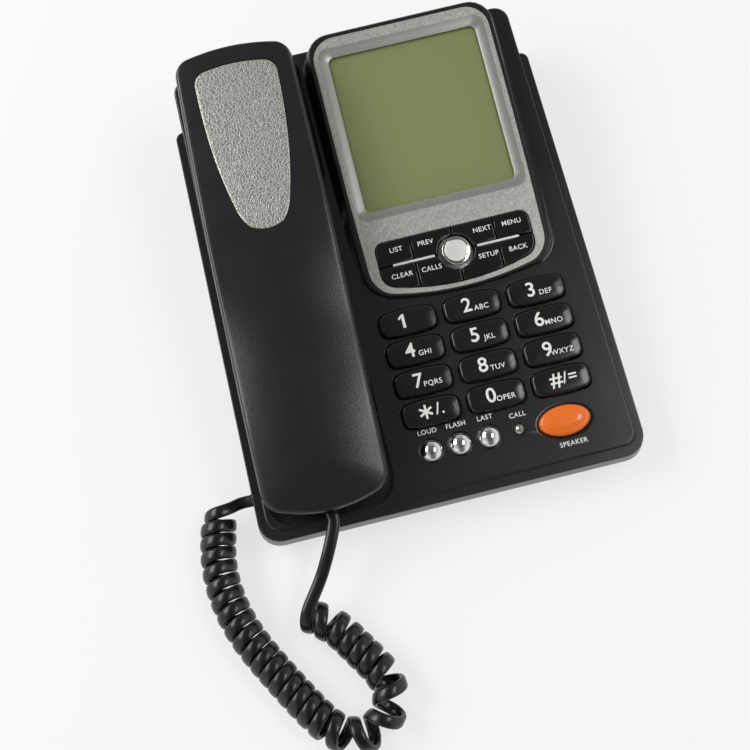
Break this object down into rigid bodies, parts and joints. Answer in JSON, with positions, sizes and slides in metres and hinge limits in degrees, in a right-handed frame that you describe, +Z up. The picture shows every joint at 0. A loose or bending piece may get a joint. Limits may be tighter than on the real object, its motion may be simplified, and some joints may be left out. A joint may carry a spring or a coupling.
{
  "type": "corded telephone",
  "caption": "Corded desk telephone with a lift-off handset on a curly cord, large tilted display, menu keys, keypad, dome buttons and an orange speaker key.",
  "frame": {"origin": "on the table, under the middle of the case's plan outline", "axes": "+X to the right of a user, +Y to the rear, +Z up"},
  "size_m": [0.204, 0.3159, 0.0683],
  "materials": {
    "case_black": "fine satin texture",
    "key_black": "satin with polished edges",
    "menu_gloss_black": "polished",
    "bezel_silver": "silver metallic paint",
    "plate_silver": "crinkled silver paint",
    "chrome": "mirror plating",
    "speaker_orange": "satin gloss",
    "window_clear": "clear",
    "lcd_green": "even",
    "lamp_clear": "clear moulding",
    "cord_black": "smooth vinyl",
    "board_green": "varnished",
    "mat_rubber": "matt",
    "foot_rubber": "matt",
    "steel": "plated",
    "inner_black": "moulded",
    "speaker_grey": "satin",
    "cell_grey": "satin"
  },
  "bodies": {
    "base": {"upper_case": "case_black", "lower_case": "case_black", "lcd_bezel": "bezel_silver", "lcd_window": "window_clear", "lcd_panel": "lcd_green", "display_board": "board_green", "menu_mat": "mat_rubber", "menu_trim_bars": "bezel_silver", "key_mat": "mat_rubber", "main_board": "board_green", "board_screws": "steel", "new_call_lamp": "lamp_clear", "loudspeaker": "speaker_grey", "battery_door": "case_black", "battery_cells": "cell_grey", "battery_contacts": "steel", "rubber_feet": "foot_rubber", "case_screws": "steel", "line_jack": "inner_black", "base_socket": "inner_black", "hook_switch": "inner_black", "hook_spring": "steel", "base_plug": "cord_black", "curly_cord": "cord_black"},
    "handset": {"handset_outer_shell": "case_black", "handset_inner_shell": "case_black", "handset_plate": "plate_silver", "receiver_capsule": "speaker_grey", "microphone_capsule": "inner_black", "handset_weight": "steel", "handset_screws": "steel", "handset_socket": "inner_black", "handset_plug": "cord_black"},
    "hook": {"hook_plunger": "case_black"},
    "key_1": {"key_1": "key_black"},
    "key_2": {"key_2": "key_black"},
    "key_3": {"key_3": "key_black"},
    "key_4": {"key_4": "key_black"},
    "key_5": {"key_5": "key_black"},
    "key_6": {"key_6": "key_black"},
    "key_7": {"key_7": "key_black"},
    "key_8": {"key_8": "key_black"},
    "key_9": {"key_9": "key_black"},
    "key_star": {"key_star": "key_black"},
    "key_0": {"key_0": "key_black"},
    "key_hash": {"key_hash": "key_black"},
    "volume_button": {"volume_button": "chrome"},
    "flash_button": {"flash_button": "chrome"},
    "redial_button": {"redial_button": "chrome"},
    "speaker_key": {"speaker_key": "speaker_orange"},
    "menu_key_1": {"menu_key_1": "menu_gloss_black"},
    "menu_key_2": {"menu_key_2": "menu_gloss_black"},
    "menu_key_3": {"menu_key_3": "menu_gloss_black"},
    "menu_key_4": {"menu_key_4": "menu_gloss_black"},
    "menu_key_5": {"menu_key_5": "menu_gloss_black"},
    "menu_key_6": {"menu_key_6": "menu_gloss_black"},
    "menu_key_7": {"menu_key_7": "menu_gloss_black"},
    "menu_key_8": {"menu_key_8": "menu_gloss_black"},
    "centre_button": {"centre_button": "bezel_silver"}
  },
  "joints": [
    {"name": "handset_lift", "type": "slide", "parent": "base", "child": "handset", "axis": [0, -0.108, 0.9942], "range_m": [0, 0.07]},
    {"name": "hook_rise", "type": "slide", "parent": "base", "child": "hook", "axis": [0, -0.108, 0.9942], "range_m": [0, 0.003], "deforming": ["hook_spring"]},
    {"name": "key_1_press", "type": "slide", "parent": "base", "child": "key_1", "axis": [0, 0.108, -0.9942], "range_m": [0, 0.0012], "stiffness_N_per_m": 400, "springref_m": -0.0004},
    {"name": "key_2_press", "type": "slide", "parent": "base", "child": "key_2", "axis": [0, 0.108, -0.9942], "range_m": [0, 0.0012], "stiffness_N_per_m": 400, "springref_m": -0.0004},
    {"name": "key_3_press", "type": "slide", "parent": "base", "child": "key_3", "axis": [0, 0.108, -0.9942], "range_m": [0, 0.0012], "stiffness_N_per_m": 400, "springref_m": -0.0004},
    {"name": "key_4_press", "type": "slide", "parent": "base", "child": "key_4", "axis": [0, 0.108, -0.9942], "range_m": [0, 0.0012], "stiffness_N_per_m": 400, "springref_m": -0.0004},
    {"name": "key_5_press", "type": "slide", "parent": "base", "child": "key_5", "axis": [0, 0.108, -0.9942], "range_m": [0, 0.0012], "stiffness_N_per_m": 400, "springref_m": -0.0004},
    {"name": "key_6_press", "type": "slide", "parent": "base", "child": "key_6", "axis": [0, 0.108, -0.9942], "range_m": [0, 0.0012], "stiffness_N_per_m": 400, "springref_m": -0.0004},
    {"name": "key_7_press", "type": "slide", "parent": "base", "child": "key_7", "axis": [0, 0.108, -0.9942], "range_m": [0, 0.0012], "stiffness_N_per_m": 400, "springref_m": -0.0004},
    {"name": "key_8_press", "type": "slide", "parent": "base", "child": "key_8", "axis": [0, 0.108, -0.9942], "range_m": [0, 0.0012], "stiffness_N_per_m": 400, "springref_m": -0.0004},
    {"name": "key_9_press", "type": "slide", "parent": "base", "child": "key_9", "axis": [0, 0.108, -0.9942], "range_m": [0, 0.0012], "stiffness_N_per_m": 400, "springref_m": -0.0004},
    {"name": "key_star_press", "type": "slide", "parent": "base", "child": "key_star", "axis": [0, 0.108, -0.9942], "range_m": [0, 0.0012], "stiffness_N_per_m": 400, "springref_m": -0.0004},
    {"name": "key_0_press", "type": "slide", "parent": "base", "child": "key_0", "axis": [0, 0.108, -0.9942], "range_m": [0, 0.0012], "stiffness_N_per_m": 400, "springref_m": -0.0004},
    {"name": "key_hash_press", "type": "slide", "parent": "base", "child": "key_hash", "axis": [0, 0.108, -0.9942], "range_m": [0, 0.0012], "stiffness_N_per_m": 400, "springref_m": -0.0004},
    {"name": "volume_button_press", "type": "slide", "parent": "base", "child": "volume_button", "axis": [0, 0.108, -0.9942], "range_m": [0, 0.0012], "stiffness_N_per_m": 400, "springref_m": -0.0004},
    {"name": "flash_button_press", "type": "slide", "parent": "base", "child": "flash_button", "axis": [0, 0.108, -0.9942], "range_m": [0, 0.0012], "stiffness_N_per_m": 400, "springref_m": -0.0004},
    {"name": "redial_button_press", "type": "slide", "parent": "base", "child": "redial_button", "axis": [0, 0.108, -0.9942], "range_m": [0, 0.0012], "stiffness_N_per_m": 400, "springref_m": -0.0004},
    {"name": "speaker_key_press", "type": "slide", "parent": "base", "child": "speaker_key", "axis": [0, 0.108, -0.9942], "range_m": [0, 0.0012], "stiffness_N_per_m": 400, "springref_m": -0.0004},
    {"name": "menu_key_1_press", "type": "slide", "parent": "base", "child": "menu_key_1", "axis": [0, 0.1771, -0.9842], "range_m": [0, 0.001], "stiffness_N_per_m": 400, "springref_m": -0.0004},
    {"name": "menu_key_2_press", "type": "slide", "parent": "base", "child": "menu_key_2", "axis": [0, 0.1771, -0.9842], "range_m": [0, 0.001], "stiffness_N_per_m": 400, "springref_m": -0.0004},
    {"name": "menu_key_3_press", "type": "slide", "parent": "base", "child": "menu_key_3", "axis": [0, 0.1771, -0.9842], "range_m": [0, 0.001], "stiffness_N_per_m": 400, "springref_m": -0.0004},
    {"name": "menu_key_4_press", "type": "slide", "parent": "base", "child": "menu_key_4", "axis": [0, 0.1771, -0.9842], "range_m": [0, 0.001], "stiffness_N_per_m": 400, "springref_m": -0.0004},
    {"name": "menu_key_5_press", "type": "slide", "parent": "base", "child": "menu_key_5", "axis": [0, 0.1771, -0.9842], "range_m": [0, 0.001], "stiffness_N_per_m": 400, "springref_m": -0.0004},
    {"name": "menu_key_6_press", "type": "slide", "parent": "base", "child": "menu_key_6", "axis": [0, 0.1771, -0.9842], "range_m": [0, 0.001], "stiffness_N_per_m": 400, "springref_m": -0.0004},
    {"name": "menu_key_7_press", "type": "slide", "parent": "base", "child": "menu_key_7", "axis": [0, 0.1771, -0.9842], "range_m": [0, 0.001], "stiffness_N_per_m": 400, "springref_m": -0.0004},
    {"name": "menu_key_8_press", "type": "slide", "parent": "base", "child": "menu_key_8", "axis": [0, 0.1771, -0.9842], "range_m": [0, 0.001], "stiffness_N_per_m": 400, "springref_m": -0.0004},
    {"name": "centre_button_press", "type": "slide", "parent": "base", "child": "centre_button", "axis": [0, 0.1771, -0.9842], "range_m": [0, 0.001], "stiffness_N_per_m": 400, "springref_m": -0.0004}
  ],
  "couplings": [
    {"joint": "hook_rise", "follows": "handset_lift", "ratio": 0.042857}
  ]
}
